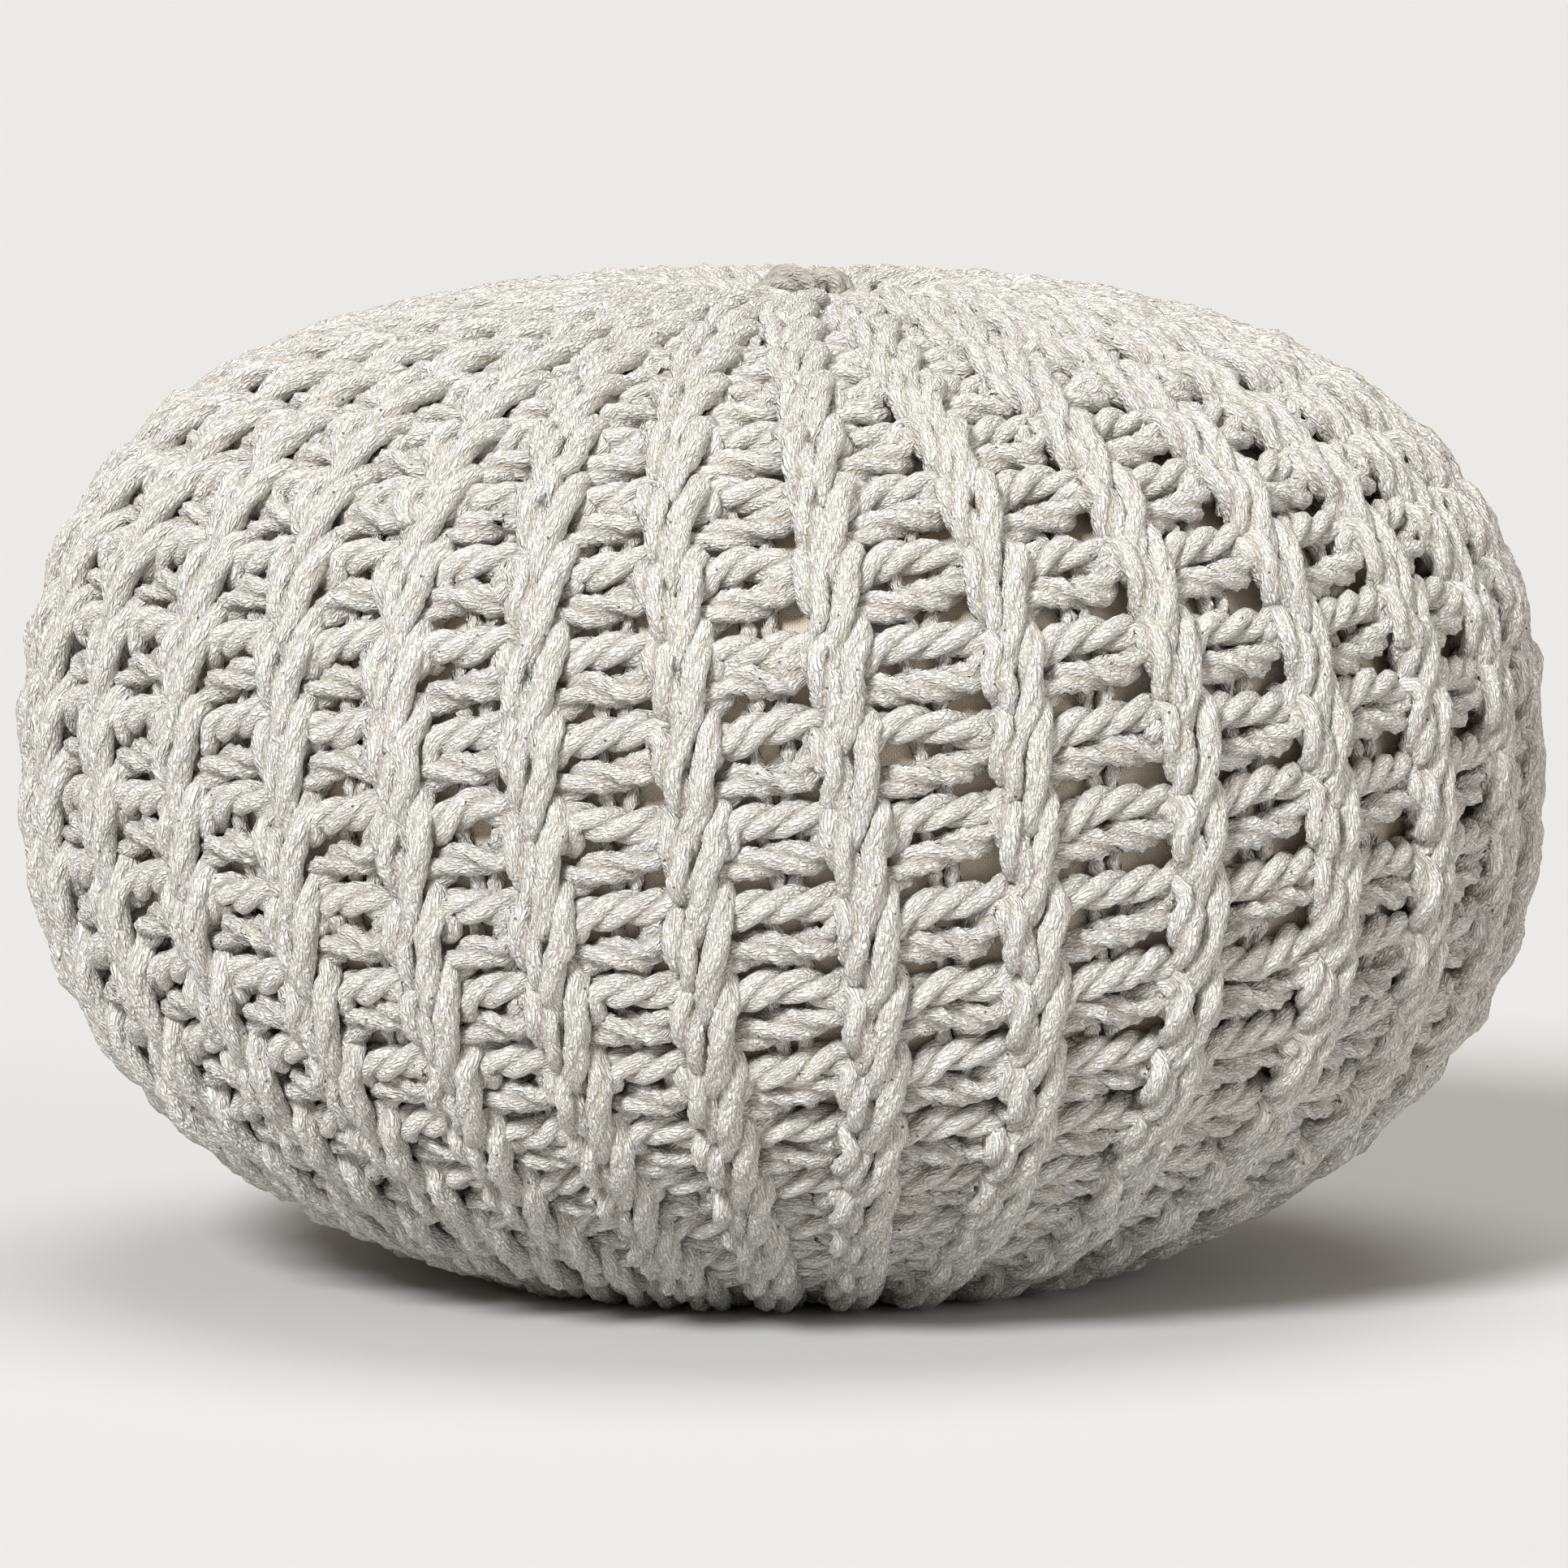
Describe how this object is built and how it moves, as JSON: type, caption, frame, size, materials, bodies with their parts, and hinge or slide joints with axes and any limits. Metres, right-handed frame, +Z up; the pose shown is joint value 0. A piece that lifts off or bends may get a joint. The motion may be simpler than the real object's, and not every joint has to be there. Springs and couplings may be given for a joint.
{
  "type": "knitted pouf",
  "caption": "Round floor pouf in a chunky open rib knit of undyed cotton cord over a stuffed calico cushion, drawn together at the crown by a knotted cord.",
  "frame": {"origin": "on the floor, under the middle of the pouf's bounding box", "axes": "+Z up from the floor through the crown, -Y towards the side that the picture shows, +X to its right"},
  "size_m": [0.4965, 0.5027, 0.325],
  "materials": {
    "cotton_cord": "matte, plied undyed cotton cord, fluffy and flecked",
    "calico": "matte, plain-woven unbleached calico"
  },
  "bodies": {
    "root": {"knitted_cover": "cotton_cord", "inner_cushion": "calico", "closing_cord": "cotton_cord"}
  },
  "joints": []
}
